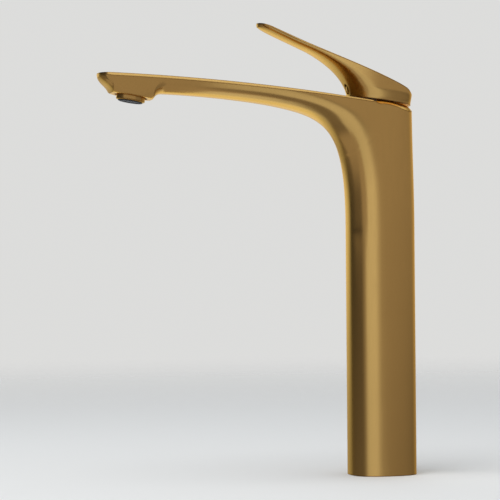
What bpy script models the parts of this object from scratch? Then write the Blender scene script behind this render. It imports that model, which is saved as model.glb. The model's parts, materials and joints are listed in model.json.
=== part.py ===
"""Tall single-lever basin mixer: column, spout, lever, ceramic cartridge, aerator and deck fixing.

The origin is on the deck plane, on the column's centre line. +Z is up and the spout points to -Y.
Sizes below are in millimetres, and MM turns them into metres.
"""
import math

import bmesh
import bpy
from mathutils import Matrix, Vector

MM = 0.001
GAP = 0.3                    # clearance that touching pieces keep

# Column and spout outline
COLUMN_HALF = 22.5           # half of the column's width and depth
RIM_INSET = 1.3              # the column's back leans in by this much at the rim
SQUARENESS = 2.7             # exponent of the column's rounded-square section
RIM_HEIGHT = 250.6           # body's top plane on the column's centre line
TILT = math.radians(8.0)     # the top plane and the cartridge lean back by this much
ELBOW_START = 168.0          # height where the column's front begins to bend forward
SPOUT_REACH = 192.4          # column axis to the spout's tip
SPOUT_BEND = 33.0            # the spout's top leaves the tilted plane here
TIP_HALF = 14.0              # half of the spout's width near the tip
TIP_ROUND = 8.0              # length of the rounded front, in plan
TIP_POWER = 2.5              # exponent of its superellipse
EDGE = 0.9                   # width of the bevel along the top edges
EDGE_STEEP = 2.1             # its height over its width

# Outlet boss and aerator
BOSS_CENTRE = (-170.3, 253.6)
BOSS_RADIUS = 13.6
OUTLET_TILT = math.radians(9.5)
AERATOR_RADIUS = 9.5

# Lever handle
HANDLE_GAP = 1.4             # gap between the body's rim and the handle
HANDLE_FOOT = 20.5           # column axis to the back of the handle's foot
HANDLE_FRONT = 21.6          # column axis to the front of the handle's foot
HANDLE_HALF = 21.5           # half of the handle's width above the foot
LEVER_TIP = 84.8             # column axis to the lever's tip
LEVER_HALF = 10.0            # half of the lever's width
LEVER_POWER = 1.5            # exponent of the lever's rounding below, towards its tip
LEVER_EDGE = 0.5             # width of the bevel along the handle's top edges
LEVER_BOW = 0.7              # the lever's top arches by this much
PLUG_CENTRE = (-22.3, 260.6) # where the plug covers the grub screw's hole
PLUG_TILT = math.radians(12.0)
HANDLE_TOP = 267.2           # handle's top plane on the column's centre line
HANDLE_SLOPE = 0.441         # rise of the lever's top per unit of reach

# Cartridge, measured along its own axis from the body's top plane
PIVOT_DEPTH = 24.0           # lift axis below the top plane
STEM_LEAN = math.radians(12.5)
BALL_ARM = 5.0               # pivot to the ball end that slides the disc
SWEEP_INSIDE = 31.9          # what stays still is within this distance of the pivot
SWEEP_OUTSIDE = 32.2         # what lifts is beyond this distance
CHAMBER_RADIUS = 14.0
CHAMBER_DEPTH = 43.0

# Column's inside and deck fixing
BORE_RADIUS = 19.0
FLOOR_BOTTOM = 186.0         # underside of the block that carries the inlets
INLET_SPACING = 6.2          # inlet axis to the plane of symmetry
SHANK_RADIUS = 16.0
SHANK_BOTTOM = -58.0
DECK = 30.0                  # thickness of the deck that the fixing clamps
STEPS = 32

for old in list(bpy.data.objects):
    bpy.data.objects.remove(old, do_unlink=True)

parts = bpy.data.collections.new("basin_mixer")
cutters = bpy.data.collections.new("cutters")
bpy.context.scene.collection.children.link(parts)
bpy.context.scene.collection.children.link(cutters)


# Materials ---------------------------------------------------------------------------------------

def material(name, colour, roughness, metallic):
    made = bpy.data.materials.new(name)
    made.use_nodes = True
    shader = made.node_tree.nodes["Principled BSDF"]
    shader.inputs["Base Color"].default_value = (*colour, 1.0)
    shader.inputs["Roughness"].default_value = roughness
    shader.inputs["Metallic"].default_value = metallic
    return made


FINISHES = {
    "gold": ((0.60, 0.38, 0.13), 0.34, 1.0),
    "steel": ((0.62, 0.62, 0.60), 0.35, 1.0),
    "brass": ((0.66, 0.49, 0.20), 0.40, 1.0),
    "rubber": ((0.03, 0.03, 0.03), 0.80, 0.0),
    "ceramic": ((0.86, 0.85, 0.82), 0.25, 0.0),
    "white_plastic": ((0.78, 0.78, 0.75), 0.45, 0.0),
    "dark_plastic": ((0.05, 0.05, 0.05), 0.50, 0.0),
}


def finish(thing, kind):
    colour, roughness, metallic = FINISHES[kind]
    thing.data.materials.clear()
    thing.data.materials.append(material(thing.name + "_" + kind, colour, roughness, metallic))


# Frames ------------------------------------------------------------------------------------------

def frame(name, place, lean):
    """An empty whose +Z axis leans towards +Y by the angle lean."""
    made = bpy.data.objects.new(name, None)
    made.location = Vector(place) * MM
    made.rotation_euler = (-lean, 0.0, 0.0)
    parts.objects.link(made)
    return made


def along_axis(depth):
    """Point on the cartridge's axis, depth below the body's top plane."""
    return (0.0, -depth * math.sin(TILT), RIM_HEIGHT - depth * math.cos(TILT))


cartridge_frame = frame("cartridge_frame", along_axis(0.0), TILT)
pivot_frame = frame("pivot_frame", along_axis(PIVOT_DEPTH), TILT)
stem_frame = frame("stem_frame", along_axis(PIVOT_DEPTH), TILT - STEM_LEAN)
outlet_frame = frame("outlet_frame", (0.0, *BOSS_CENTRE), OUTLET_TILT)
deck_frame = frame("deck_frame", (0.0, 0.0, 0.0), 0.0)


# Building blocks ---------------------------------------------------------------------------------

def place(mesh, name, parent, kind, at=(0.0, 0.0, 0.0)):
    """Put a mesh in the parts, or in the cutters when kind is None."""
    thing = bpy.data.objects.new(name, mesh)
    thing.parent = parent
    thing.location = Vector(at) * MM
    if kind is None:
        cutters.objects.link(thing)
        thing.hide_render = True
        thing.display_type = "WIRE"
    else:
        parts.objects.link(thing)
        finish(thing, kind)
        mesh.shade_smooth()
        mesh.set_sharp_from_angle(angle=math.radians(32))
    return thing


def turned(name, outline, parent, kind, at=(0.0, 0.0, 0.0), closed=False, steps=STEPS):
    """Turn an outline of (radius, height) points, listed down its outer side."""
    mesh = bpy.data.meshes.new(name)
    points = [(r * MM, 0.0, z * MM) for r, z in outline]
    edges = [(i, i + 1) for i in range(len(points) - 1)]
    if closed:
        edges.append((len(points) - 1, 0))
    mesh.from_pydata(points, edges, [])
    thing = place(mesh, name, parent, kind, at)
    screw = thing.modifiers.new("turn", "SCREW")
    screw.steps = screw.render_steps = steps
    screw.use_merge_vertices = True
    screw.merge_threshold = 0.00001
    screw.use_smooth_shade = True
    return thing


def disc(name, radius, bottom, top, parent, kind, at=(0.0, 0.0, 0.0), steps=STEPS):
    outline = [(0.0, top), (radius, top), (radius, bottom), (0.0, bottom)]
    return turned(name, outline, parent, kind, at, steps=steps)


def ring(name, outer, inner, bottom, top, parent, kind, at=(0.0, 0.0, 0.0), steps=STEPS):
    outline = [(inner, top), (outer, top), (outer, bottom), (inner, bottom)]
    return turned(name, outline, parent, kind, at, closed=True, steps=steps)


def seal(name, middle, thick, height, parent, at=(0.0, 0.0, 0.0), steps=STEPS):
    """An O-ring with a six-sided section."""
    outline = [(middle + thick / 2 * math.cos(a), height - thick / 2 * math.sin(a))
               for a in (math.tau * (i - 1.0) / 6 for i in range(6))]
    return turned(name, outline, parent, "rubber", at, closed=True, steps=steps)


def block(name, size, parent, kind, at=(0.0, 0.0, 0.0)):
    mesh = bpy.data.meshes.new(name)
    built = bmesh.new()
    bmesh.ops.create_cube(built, size=1.0)
    bmesh.ops.scale(built, vec=Vector(size) * MM, verts=built.verts)
    built.to_mesh(mesh)
    built.free()
    return place(mesh, name, parent, kind, at)


def prism(name, sides, across_flats, bottom, top, parent, kind):
    """A regular prism about its parent's Z axis."""
    radius = across_flats / 2 / math.cos(math.pi / sides)
    mesh = bpy.data.meshes.new(name)
    built = bmesh.new()
    bmesh.ops.create_cone(built, cap_ends=True, segments=sides, radius1=radius * MM,
                          radius2=radius * MM, depth=(top - bottom) * MM)
    built.to_mesh(mesh)
    built.free()
    return place(mesh, name, parent, kind, (0.0, 0.0, (top + bottom) / 2))


def ball(name, radius, parent, kind, at=(0.0, 0.0, 0.0), segments=48):
    mesh = bpy.data.meshes.new(name)
    built = bmesh.new()
    bmesh.ops.create_uvsphere(built, u_segments=segments, v_segments=segments // 2,
                              radius=radius * MM)
    built.to_mesh(mesh)
    built.free()
    return place(mesh, name, parent, kind, at)


def boolean(target, other, operation="DIFFERENCE"):
    step = target.modifiers.new(operation.lower(), "BOOLEAN")
    step.operation = operation
    step.solver = "EXACT"
    step.object = other


def cut(target, *tools):
    for tool in tools:
        boolean(target, tool)


def join(target, *others):
    """Union pieces that stand among the cutters into one solid."""
    for other in others:
        boolean(target, other, "UNION")


# Hull: a solid of stations that run from an inner line to an outer line ----------------------------

def bezier(a, b, c, d, t):
    s = 1.0 - t
    return tuple(s**3 * p + 3 * s * s * t * q + 3 * s * t * t * r + t**3 * w
                 for p, q, r, w in zip(a, b, c, d))


def round_off(share, power):
    """Superellipse: 0 at the start of a rounding, 1 at its end."""
    share = min(max(share, 0.0), 1.0)
    return (1.0 - (1.0 - share) ** power) ** (1.0 / power)


def blend(share):
    share = min(max(share, 0.0), 1.0)
    return share * share * (3.0 - 2.0 * share)


def mix(a, b, share):
    return a + (b - a) * share


def square(y):
    return SQUARENESS


def hull(name, stations, width, kind, across=9, power=square):
    """Loft a solid that is symmetric about X = 0.

    A station is (inner point, outer point, rounding depth, flat half width, bevel); points are (y, z).
    width(y, z) is the half width where the rounding has ended, and power(y) the rounding's exponent.
    """
    rings = []
    for inner, outer, depth, flat, bevel in stations:
        length = math.dist(inner, outer)

        def half(share):
            y, z = mix(inner[0], outer[0], share), mix(inner[1], outer[1], share)
            full = width(y, z)
            base = min(flat, full)
            return y, z, base + (full - base) * round_off(share * length / depth, power(outer[0]))

        edge = min(bevel, half(1.0)[2])
        last = 1.0 - EDGE_STEEP * edge / length
        side = [half(last * (1 - math.cos(math.pi * k / across)) / 2) for k in range(across + 1)]
        top = half(1.0)
        side.append((top[0], top[1], top[2] - edge))
        right = [(x, y, z) for y, z, x in side]
        left = [(-x, y, z) for x, y, z in reversed(right)]
        rings.append([(0.0, *inner), *right, (0.0, *outer), *left])
    built = bmesh.new()
    rows = [[built.verts.new(Vector(p) * MM) for p in points] for points in rings]
    count = len(rows[0])
    for low, high in zip(rows, rows[1:]):
        for i in range(count):
            j = (i + 1) % count
            built.faces.new((low[i], low[j], high[j], high[i]))
    built.faces.new(reversed(rows[0]))
    built.faces.new(rows[-1])
    bmesh.ops.remove_doubles(built, verts=built.verts, dist=0.00002)
    bmesh.ops.dissolve_degenerate(built, edges=built.edges, dist=0.00001)
    bmesh.ops.triangulate(built, faces=built.faces)
    bmesh.ops.recalc_face_normals(built, faces=built.faces)
    mesh = bpy.data.meshes.new(name)
    built.to_mesh(mesh)
    built.free()
    return place(mesh, name, None, kind)


def superellipse(y, half):
    """Half width of the rounded-square section, for a half depth of half."""
    return half * max(0.0, 1.0 - (abs(y) / half) ** SQUARENESS) ** (1.0 / SQUARENESS)


# Body --------------------------------------------------------------------------------------------

def spout_top(y):
    """Height of the body's top: the tilted plane, then a line that slowly levels out."""
    if y > -SPOUT_BEND:
        return RIM_HEIGHT - y * math.tan(TILT)
    beyond = -SPOUT_BEND - y
    return RIM_HEIGHT + (SPOUT_BEND + beyond) * math.tan(TILT) - 0.000356 * beyond**2


def column_back(z):
    """Distance of the column's back from its axis."""
    return COLUMN_HALF - RIM_INSET * blend((z - ELBOW_START) / (RIM_HEIGHT - ELBOW_START))


def body_width(y, z):
    if y > 0.0:
        back = column_back(z)
        return superellipse(min(y, back), back) * COLUMN_HALF / back
    taper = mix(COLUMN_HALF, TIP_HALF, blend((-8.0 - y) / 150.0) * 0.6 + min(-y / 185.0, 1.0) * 0.4)
    start = -SPOUT_REACH + TIP_ROUND
    if y < start:
        return taper * max(0.0, 1.0 - ((start - y) / TIP_ROUND) ** TIP_POWER) ** (1.0 / TIP_POWER)
    return taper


def underside(t):
    """The body's front line and the spout's underside: the elbow for t below 1, then the spout."""
    if t <= 1.0:
        return bezier((-COLUMN_HALF, ELBOW_START), (-COLUMN_HALF, 232.5), (-33.5, 240.6),
                      (-69.7, 247.8), t)
    return bezier((-69.7, 247.8), (-90.0, 251.8), (-125.0, 254.8), (-149.0, 255.5), t - 1.0)


def body_stations():
    rear_top = spout_top(COLUMN_HALF)
    rim_back = column_back(rear_top)
    found = [((-COLUMN_HALF, 0.0), (COLUMN_HALF, 0.0), COLUMN_HALF, 0.0, 0.0)]
    for t in (0.0, 0.12, 0.24):
        rise = mix(ELBOW_START, rear_top, blend(t / 0.36))
        found.append((underside(t), (column_back(rise), rise), COLUMN_HALF, 0.0, 0.0))
    for k in range(8):
        y = rim_back * math.cos(math.pi / 2 * k / 8) ** (2 / SQUARENESS)
        t = mix(0.33, 0.58, k / 8)
        found.append((underside(t), (y, spout_top(y)), mix(COLUMN_HALF, 20.5, k / 8), 0.0, EDGE * k / 8))
    for k in range(9):
        t = mix(0.58, 1.0, k / 8)
        y = mix(0.0, -62.0, k / 8)
        found.append((underside(t), (y, spout_top(y)), mix(20.5, 14.0, k / 8), 0.0, EDGE))
    for k in range(1, 8):
        inner = underside(1.0 + k / 7)
        y = mix(-62.0, -149.0, k / 7)
        found.append((inner, (y, spout_top(y)), mix(14.0, 10.5, k / 7), 0.0, EDGE))
    found += boss_stations()
    return found


def boss_stations():
    centre, height = BOSS_CENTRE
    run, rise = math.cos(OUTLET_TILT), math.sin(OUTLET_TILT)
    rear = (centre + BOSS_RADIUS * run, height - BOSS_RADIUS * rise)
    front = (centre - BOSS_RADIUS * run, height + BOSS_RADIUS * rise)
    found = []
    for t in (0.35, 0.7, 1.0):
        inner = bezier((-149.0, 255.5), (-153.0, 255.6), (-155.0, 253.9), rear, t)
        found.append((inner, (inner[0], spout_top(inner[0])), mix(10.5, 7.5, t), 0.0, EDGE))
    for k in range(1, 12):
        angle = math.pi * k / 12
        inner = (centre + BOSS_RADIUS * run * math.cos(angle),
                 height - BOSS_RADIUS * rise * math.cos(angle))
        lean = mix(0.0, 2.0, k / 12)
        outer = inner[0] - lean
        found.append((inner, (outer, spout_top(outer)), 7.5, BOSS_RADIUS * math.sin(angle), EDGE))
    for t in (0.0, 0.3, 0.6, 0.85, 1.0):
        inner = bezier(front, (front[0] - 1.5, front[1] + 4.0), (-190.5, 262.0), (-192.1, 266.4), t)
        outer = mix(front[0] - 2.0, -SPOUT_REACH + 0.1, t)
        found.append((inner, (outer, spout_top(outer)), mix(7.5, 3.0, t), 0.0, EDGE * (1 - 0.5 * t)))
    return found


def water_way():
    """The spout's channel: a flat tube from the cartridge chamber to the aerator."""
    line = bpy.data.curves.new("water_way", "CURVE")
    line.dimensions = "3D"
    line.bevel_depth = 3.0 * MM
    line.bevel_resolution = 2
    line.use_fill_caps = True
    route = [(-10.0, 234.0), (-30.0, 241.5), (-55.0, 249.8), (-90.0, 255.8), (-130.0, 260.2),
             (-171.5, 262.4)]
    spline = line.splines.new("POLY")
    spline.points.add(len(route) - 1)
    for point, (y, z) in zip(spline.points, route):
        point.co = (0.0, y * MM, z * MM, 1.0)
    wire = bpy.data.objects.new("water_way_line", line)
    cutters.objects.link(wire)
    bpy.context.view_layer.update()
    mesh = bpy.data.meshes.new_from_object(wire.evaluated_get(bpy.context.evaluated_depsgraph_get()))
    built = bmesh.new()
    built.from_mesh(mesh)
    bmesh.ops.remove_doubles(built, verts=built.verts, dist=0.00001)
    bmesh.ops.scale(built, vec=(2.0, 1.0, 1.0), verts=built.verts)
    bmesh.ops.recalc_face_normals(built, faces=built.faces)
    built.to_mesh(mesh)
    built.free()
    bpy.data.objects.remove(wire, do_unlink=True)
    return place(mesh, "water_way", None, None)


def rim_sweep():
    """What the handle's foot sweeps round the pivot, over the rear and sides of the rim."""
    lean = math.atan(0.35)
    around = frame("rim_frame", along_axis(0.0), TILT)
    outside = block("rim_sweep", (80.0, 80.0, 40.0), around, None)
    outside.rotation_euler = (-lean, 0.0, 0.0)
    middle = Vector((0.0, -11.0, 0.0)) + Matrix.Rotation(-lean, 3, "X") @ Vector((0.0, 40.0, 20.0))
    outside.location = middle * MM
    cut(outside, ball("rim_ball", SWEEP_INSIDE, pivot_frame, None))
    return outside


def make_body():
    body = hull("body", body_stations(), body_width, "gold")
    cut(body, disc("column_bore", BORE_RADIUS, -5.0, FLOOR_BOTTOM, deck_frame, None))
    cut(body, turned("chamber", [(0.0, 20.0), (17.0, 20.0), (17.0, -3.2), (CHAMBER_RADIUS, -3.2),
                                 (CHAMBER_RADIUS, -CHAMBER_DEPTH), (0.0, -CHAMBER_DEPTH)],
                     cartridge_frame, None))
    cut(body, water_way())
    for side in (-1, 1):
        at = (side * INLET_SPACING, -6.0, 0.0)
        cut(body, disc("inlet_bore", 2.6, FLOOR_BOTTOM - 5.0, 215.0, deck_frame, None, at, 20))
        cut(body, disc("inlet_socket", 4.9, FLOOR_BOTTOM - 5.0, FLOOR_BOTTOM + 11.0, deck_frame,
                       None, at, 24))
    cut(body, disc("aerator_socket", 10.9, -10.0, 9.0, outlet_frame, None))
    cut(body, rim_sweep())
    return body


# Outlet ------------------------------------------------------------------------------------------

def make_outlet():
    outer, inner = 10.6, 8.3
    turned("aerator_shell", [(inner, 6.0), (outer, 6.0), (outer, 0.9), (AERATOR_RADIUS, 0.5),
                             (AERATOR_RADIUS, -2.4), (AERATOR_RADIUS - 0.6, -3.0), (inner, -3.0)],
           outlet_frame, "gold", closed=True)
    seal("aerator_seal", 9.4, 2.0, 7.5, outlet_frame)
    disc("flow_regulator", inner - GAP, 2.9, 6.0, outlet_frame, "white_plastic")
    disc("aerator_screen", inner - GAP, 1.5, 2.6, outlet_frame, "steel")
    insert = disc("aerator_insert", inner - GAP, -3.7, 1.2, outlet_frame, "dark_plastic")
    for k in range(12):
        angle = math.tau * k / 12
        at = (5.6 * math.cos(angle), 5.6 * math.sin(angle), 0.0)
        cut(insert, disc("jet", 0.9, -4.0, 4.0, outlet_frame, None, at, 10))


# Deck fixing -------------------------------------------------------------------------------------

def make_fixing():
    hole = SHANK_RADIUS - 3.5
    collar = BORE_RADIUS - GAP
    turned("mounting_shank", [(hole, 12.0), (collar, 12.0), (collar, 2.4), (SHANK_RADIUS, 2.4),
                              (SHANK_RADIUS, SHANK_BOTTOM + 1.0), (SHANK_RADIUS - 1.0, SHANK_BOTTOM),
                              (hole, SHANK_BOTTOM)],
           deck_frame, "brass", closed=True)
    loose = SHANK_RADIUS + GAP
    ring("deck_seal", collar, loose, 0.0, 2.1, deck_frame, "rubber")
    ring("rubber_washer", 26.0, loose, -DECK - 3.0, -DECK, deck_frame, "rubber")
    ring("steel_washer", 26.0, loose, -DECK - 5.3, -DECK - 3.0 - GAP, deck_frame, "steel")
    nut = prism("mounting_nut", 6, 42.0, -DECK - 15.0, -DECK - 5.6, deck_frame, "brass")
    cut(nut, disc("nut_bore", loose, -DECK - 20.0, -DECK, deck_frame, None))


# Cartridge ---------------------------------------------------------------------------------------

def make_cartridge():
    where = cartridge_frame
    base = disc("cartridge_base", 12.6, -42.6, -38.3, where, "white_plastic")
    for side, name in ((-1, "hot"), (1, "cold")):
        at = (side * INLET_SPACING, 0.0, 0.0)
        cut(base, disc("base_hole", 2.2, -50.0, -30.0, where, None, at, 20))
        cut(base, disc("seal_pocket", 4.2, -50.0, -40.9, where, None, at, 24))
        seal("inlet_seal_" + name, 3.1, 1.5, -41.95, where, at, 24)
    fixed = disc("fixed_disc", 10.6, -38.0, -35.0, where, "ceramic")
    shut = (0.0, BALL_ARM * math.sin(STEM_LEAN), 0.0)
    moving = disc("moving_disc", 8.4, -34.7, -32.0, where, "ceramic", shut)
    for side in (-1, 1):
        at = (side * INLET_SPACING, 0.0, 0.0)
        cut(fixed, disc("disc_hole", 2.0, -45.0, -30.0, where, None, at, 20))
    cut(fixed, block("outlet_slot", (7.0, 8.0, 20.0), where, None, (0.0, -9.0, -36.5)))
    cut(base, block("outlet_notch", (7.0, 10.0, 3.0), where, None, (0.0, -11.0, -38.8)))
    cut(moving, block("mixing_pocket", (9.0, 4.0, 2.8), where, None, (0.0, -1.0, -34.7)))
    carrier = disc("disc_carrier", 8.4, -31.7, -28.4, where, "white_plastic", shut)
    cut(carrier, disc("ball_seat", 2.3, -31.2, -20.0, where, None, shut, 24))

    housing = turned("cartridge_housing", [(8.9, -16.0), (12.6, -16.0), (12.6, -38.0), (11.2, -38.0),
                                           (11.2, -19.0), (8.9, -19.0)],
                     where, "white_plastic", closed=True)
    for angle in (-40, 0, 40):
        window = block("window", (4.0, 8.0, 4.4), where, None)
        window.rotation_euler = (0.0, 0.0, math.radians(angle))
        window.location = Vector((11.0 * math.sin(math.radians(angle)),
                                  -11.0 * math.cos(math.radians(angle)), -35.5)) * MM
        cut(housing, window)
    cut(housing, ring("seal_groove", 15.0, 12.0, -24.6, -22.4, where, None))
    seal("housing_seal", 12.95, 1.3, -23.5, where)

    ring("cartridge_nut", CHAMBER_RADIUS - GAP, 9.6, -15.7, -8.6, where, "brass")
    turned("trim_ring", [(9.9, -0.8), (14.5, -0.8), (16.7, -1.6), (16.7, -2.9), (9.9, -2.9)],
           where, "dark_plastic", closed=True)

    rotor = turned("rotor", [(0.0, -6.6), (7.9, -6.6), (7.9, -19.3), (10.8, -19.3), (10.8, -27.9),
                             (0.0, -27.9)], where, "white_plastic")
    cut(rotor, block("stem_slot", (7.0, 17.0, 40.0), where, None, (0.0, 0.0, -18.0)))
    return rotor


def make_stem(rotor):
    """The lever's stem leans forward at rest and swings on a pin through the rotor."""
    where = stem_frame
    stem = block("stem", (6.2, 6.2, 41.6), where, "steel", (0.0, 0.0, 18.4))
    join(stem, disc("stem_neck", 1.3, -BALL_ARM, -1.0, where, None, steps=16))
    join(stem, ball("stem_ball", 1.9, where, None, (0.0, 0.0, -BALL_ARM), 16))
    pin = disc("pivot_pin", 1.3, -9.6, 9.6, pivot_frame, "steel", steps=20)
    pin.rotation_euler = (0.0, math.pi / 2, 0.0)
    hole = disc("pin_hole", 1.6, -12.0, 12.0, pivot_frame, None, steps=20)
    hole.rotation_euler = (0.0, math.pi / 2, 0.0)
    cut(stem, hole)
    cut(rotor, hole)
    return stem


# Lever handle ------------------------------------------------------------------------------------

def handle_foot(y):
    """Height of the handle's underside round the rim."""
    return RIM_HEIGHT + HANDLE_GAP / math.cos(TILT) - y * math.tan(TILT)


def handle_width(y, z):
    grow = blend((z - handle_foot(y)) / 8.0)
    half = mix(HANDLE_FOOT, HANDLE_HALF, grow)
    if y > 0.0:
        return superellipse(y, half)
    taper = mix(half, LEVER_HALF, blend(-y / 62.0))
    start = -LEVER_TIP + 8.0
    if y < start:
        return taper * max(0.0, 1.0 - ((start - y) / 8.0) ** 2.2) ** (1.0 / 2.2)
    return taper


def handle_top(y):
    share = (HANDLE_HALF - y) / (HANDLE_HALF + LEVER_TIP)
    return HANDLE_TOP - HANDLE_SLOPE * y + LEVER_BOW * 4.0 * share * (1.0 - share)


def handle_power(y):
    return mix(SQUARENESS, LEVER_POWER, blend((-10.0 - y) / 45.0))


def handle_stations():
    foot, full = HANDLE_FOOT, HANDLE_HALF
    start = (-HANDLE_FRONT, handle_foot(-HANDLE_FRONT))
    found = [(start, (foot, handle_foot(foot)), HANDLE_FRONT, 0.0, 0.0)]

    def neck(t):
        return bezier(start, (-HANDLE_FRONT + 0.2, 265.6), (-33.0, 278.4), (-53.0, 286.6), t)

    corner = (full, handle_top(full) - 2.0)
    for k in (1, 2, 3):
        outer = (mix(foot, full, blend(k / 3)), mix(handle_foot(foot), corner[1], k / 3))
        found.append((neck(0.06 * k), outer, mix(HANDLE_FRONT, 18.5, k / 3), 0.0, 0.0))
    for k in range(1, 9):
        y = full * math.cos(math.pi / 2 * k / 8) ** (2 / SQUARENESS)
        drop = 2.0 * (1.0 - blend((full - y) / 7.0))
        found.append((neck(mix(0.18, 0.52, k / 8)), (y, handle_top(y) - drop),
                      mix(18.5, 13.5, k / 8), 0.0, LEVER_EDGE * k / 8))
    for k in range(1, 8):
        y = mix(0.0, -50.0, k / 7)
        found.append((neck(mix(0.52, 1.0, k / 7)), (y, handle_top(y)), mix(13.5, 5.6, k / 7), 0.0,
                      LEVER_EDGE))
    for t in (0.25, 0.5, 0.75, 0.86, 0.94, 1.0):
        inner = bezier((-53.0, 286.6), (-64.0, 291.4), (-77.5, 297.3), (-LEVER_TIP + 0.5, 300.9), t)
        outer = mix(-50.0, -LEVER_TIP + 0.15, t)
        droop = 0.8 * max(0.0, t - 0.75) ** 2 / 0.0625
        found.append((inner, (outer, handle_top(outer) - droop), mix(5.6, 4.0, t), 0.0,
                      LEVER_EDGE * (1.0 - 0.5 * t)))
    return found


def make_lever(stem):
    handle = hull("lever_handle", handle_stations(), handle_width, "gold", 8, handle_power)
    cut(handle, ball("sweep_ball", SWEEP_OUTSIDE, pivot_frame, None))
    join(handle, disc("socket_boss", 9.4, 28.0, 36.5, stem_frame, None))
    cut(handle, block("stem_socket", (6.8, 6.8, 40.0), stem_frame, None, (0.0, 0.0, 19.5)))
    forward = (math.pi / 2, 0.0, 0.0)
    where = frame("plug_frame", (0.0, *PLUG_CENTRE), -PLUG_TILT)
    for name, radius, start in (("screw_hole", 2.6, -14.0), ("plug_hole", 3.6, -2.6)):
        tool = disc(name, radius, start, 14.0, where, None, steps=28)
        tool.rotation_euler = forward
        cut(handle, tool)
    screw = disc("grub_screw", 2.3, -11.8, -4.6, where, "steel", steps=20)
    screw.rotation_euler = forward
    key = prism("screw_key", 6, 2.5, -7.2, 4.0, where, None)
    key.rotation_euler = forward
    key.location = (0.0, 1.6 * MM, 0.0)
    cut(screw, key)
    plug = turned("index_plug", [(0.0, 0.5), (1.9, 0.3), (2.8, -0.3), (2.8, -2.3), (0.0, -2.3)],
                  where, "gold", steps=24)
    plug.rotation_euler = forward


make_body()
make_outlet()
make_fixing()
turning = make_cartridge()
make_lever(make_stem(turning))
bpy.context.view_layer.update()
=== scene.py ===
"""Looks of a tall single-lever basin mixer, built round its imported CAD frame.

The body, the lever, the aerator, the collar and the deck fixing get finer pieces than the solids that they
stand for, and every other node keeps its CAD mesh. Points of outlines are in millimetres, and MM turns them
into metres. +Z is up and the spout points to -Y.
"""
import json
import math

import bmesh
import bpy
from mathutils import Matrix, Vector


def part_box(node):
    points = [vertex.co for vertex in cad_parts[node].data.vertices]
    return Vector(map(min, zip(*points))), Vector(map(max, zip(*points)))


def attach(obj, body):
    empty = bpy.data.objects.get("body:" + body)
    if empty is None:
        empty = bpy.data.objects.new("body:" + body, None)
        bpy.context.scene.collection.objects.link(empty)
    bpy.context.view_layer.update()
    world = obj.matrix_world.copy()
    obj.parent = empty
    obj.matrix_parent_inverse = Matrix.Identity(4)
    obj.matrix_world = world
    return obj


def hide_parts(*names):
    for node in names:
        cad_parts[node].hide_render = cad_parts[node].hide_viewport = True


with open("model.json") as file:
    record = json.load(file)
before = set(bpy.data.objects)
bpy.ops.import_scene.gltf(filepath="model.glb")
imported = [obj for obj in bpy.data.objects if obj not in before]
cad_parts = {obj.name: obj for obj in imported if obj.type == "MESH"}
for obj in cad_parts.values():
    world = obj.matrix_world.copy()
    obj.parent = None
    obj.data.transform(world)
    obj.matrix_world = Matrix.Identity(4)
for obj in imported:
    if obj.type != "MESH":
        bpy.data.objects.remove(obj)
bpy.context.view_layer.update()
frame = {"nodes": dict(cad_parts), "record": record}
nodes = frame["nodes"]

MM = 0.001
GAP = 0.3                    # clearance that touching pieces keep
body_low, body_high = (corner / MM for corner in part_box("body"))
lever_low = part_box("lever_handle")[0] / MM

# Column and spout outline, as in the CAD
COLUMN_HALF = body_high.x    # half of the column's width and depth
SPOUT_REACH = -body_low.y    # column axis to the spout's tip
RIM_INSET = 1.3              # the column's back leans in by this much at the rim
SQUARENESS = 2.7             # exponent of the column's rounded-square section
RIM_HEIGHT = 250.6           # body's top plane on the column's centre line
TILT = math.radians(8.0)     # the top plane and the cartridge lean back by this much
STRAIGHT_TOP = 120.0         # the column needs only few stations below this height
ELBOW_START = 168.0          # height where the column's front begins to bend forward
ELBOW_END = (-69.7, 247.8)   # the elbow's underside runs into the spout's here
SPOUT_END = (-149.0, 255.5)  # the spout's underside runs into the outlet boss here
ELBOW_TOP_END = -62.0        # top end of the section that closes the elbow
SPOUT_BEND = 33.0            # the spout's top leaves the tilted plane here
SPOUT_BOW = 0.000356         # how much it bows down beyond that, per square millimetre
TAPER_START = 8.0            # column axis to where the spout's eased taper starts
TAPER_LENGTH = 150.0
TAPER_REACH = 185.0          # length of the even taper that is mixed in
TAPER_EASE = 0.6             # share of the eased taper
TIP_HALF = 14.0              # half of the spout's width near the tip
TIP_ROUND = 8.0              # length of the rounded front, in plan
TIP_POWER = 2.5              # exponent of its superellipse
EDGE = 0.9                   # width of the bevel along the top edges
EDGE_STEEP = 2.1             # its height over its width

# Height over which a section's side rounds out above its underside
RIM_ROUNDING = 20.5
ELBOW_ROUNDING = 14.0
SPOUT_ROUNDING = 10.5
BOSS_ROUNDING = 7.5
TIP_ROUNDING = 3.0

# Outlet boss and aerator
BOSS_CENTRE = (-170.3, 253.6)
BOSS_RADIUS = 13.6
OUTLET_TILT = math.radians(9.5)
AERATOR_RADIUS = 9.5

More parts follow.
